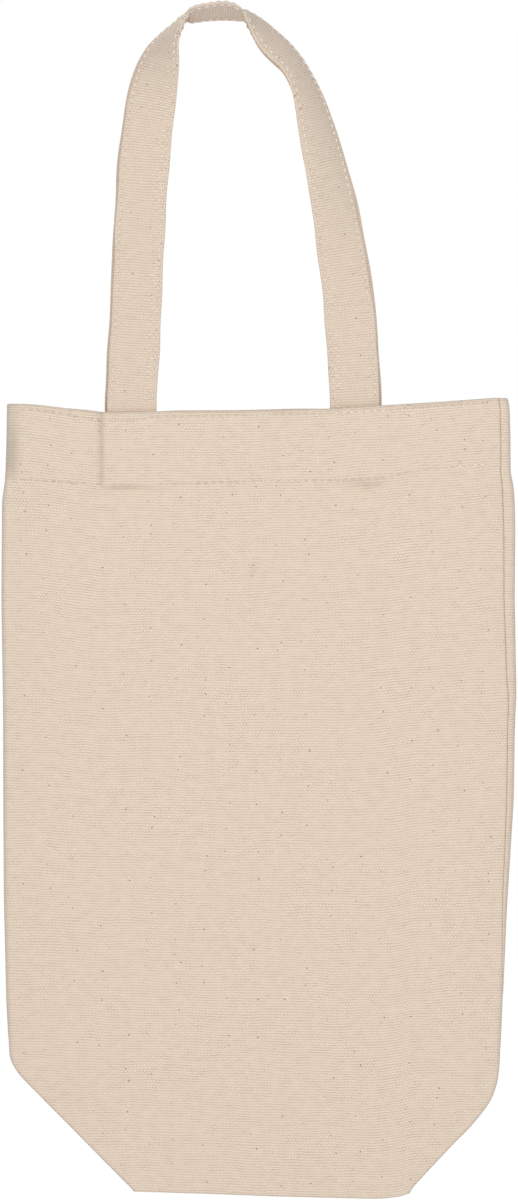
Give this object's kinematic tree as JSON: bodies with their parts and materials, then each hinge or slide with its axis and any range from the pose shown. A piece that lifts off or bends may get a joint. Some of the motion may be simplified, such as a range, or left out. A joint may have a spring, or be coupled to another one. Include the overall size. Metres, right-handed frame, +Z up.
{
  "type": "bottle carrier bag",
  "caption": "Flat cotton canvas tote for one bottle, with a boxed base folded up inside, a turned hem and a pair of sewn carrying handles.",
  "frame": {"origin": "where a hand or a hook carries the bag: under the tops of the two handles, in the middle plane between front and rear", "axes": "+Z up, towards the handles; +X to the right across the bag, seen from its front; +Y from the front to the rear"},
  "size_m": [0.2, 0.0418, 0.4646],
  "materials": {
    "canvas": "unbleached plain-weave cotton canvas",
    "strap": "folded and stitched cotton canvas tape",
    "thread": "spun sewing thread"
  },
  "bodies": {
    "bag": {"front_panel": "canvas", "rear_panel": "canvas", "front_base_fold": "canvas", "rear_base_fold": "canvas", "base_seam": "thread", "left_corner_seam": "thread", "right_corner_seam": "thread", "left_side_seam": "canvas", "right_side_seam": "canvas", "front_hem_turning": "canvas", "rear_hem_turning": "canvas", "front_strap_ends": "strap", "rear_strap_ends": "strap", "front_hem_stitching": "thread", "rear_hem_stitching": "thread"},
    "front_handle": {"front_handle": "strap", "front_handle_stitching": "thread"},
    "rear_handle": {"rear_handle": "strap", "rear_handle_stitching": "thread"}
  },
  "joints": [
    {"name": "front_handle_swing", "type": "hinge", "parent": "bag", "child": "front_handle", "pos_m": [0.00702, -0.00718, -0.14829], "axis": [1, 0, 0], "range_deg": [0, 170]},
    {"name": "rear_handle_swing", "type": "hinge", "parent": "bag", "child": "rear_handle", "pos_m": [0.00702, 0.00718, -0.14829], "axis": [1, 0, 0], "range_deg": [-170, 0]}
  ]
}
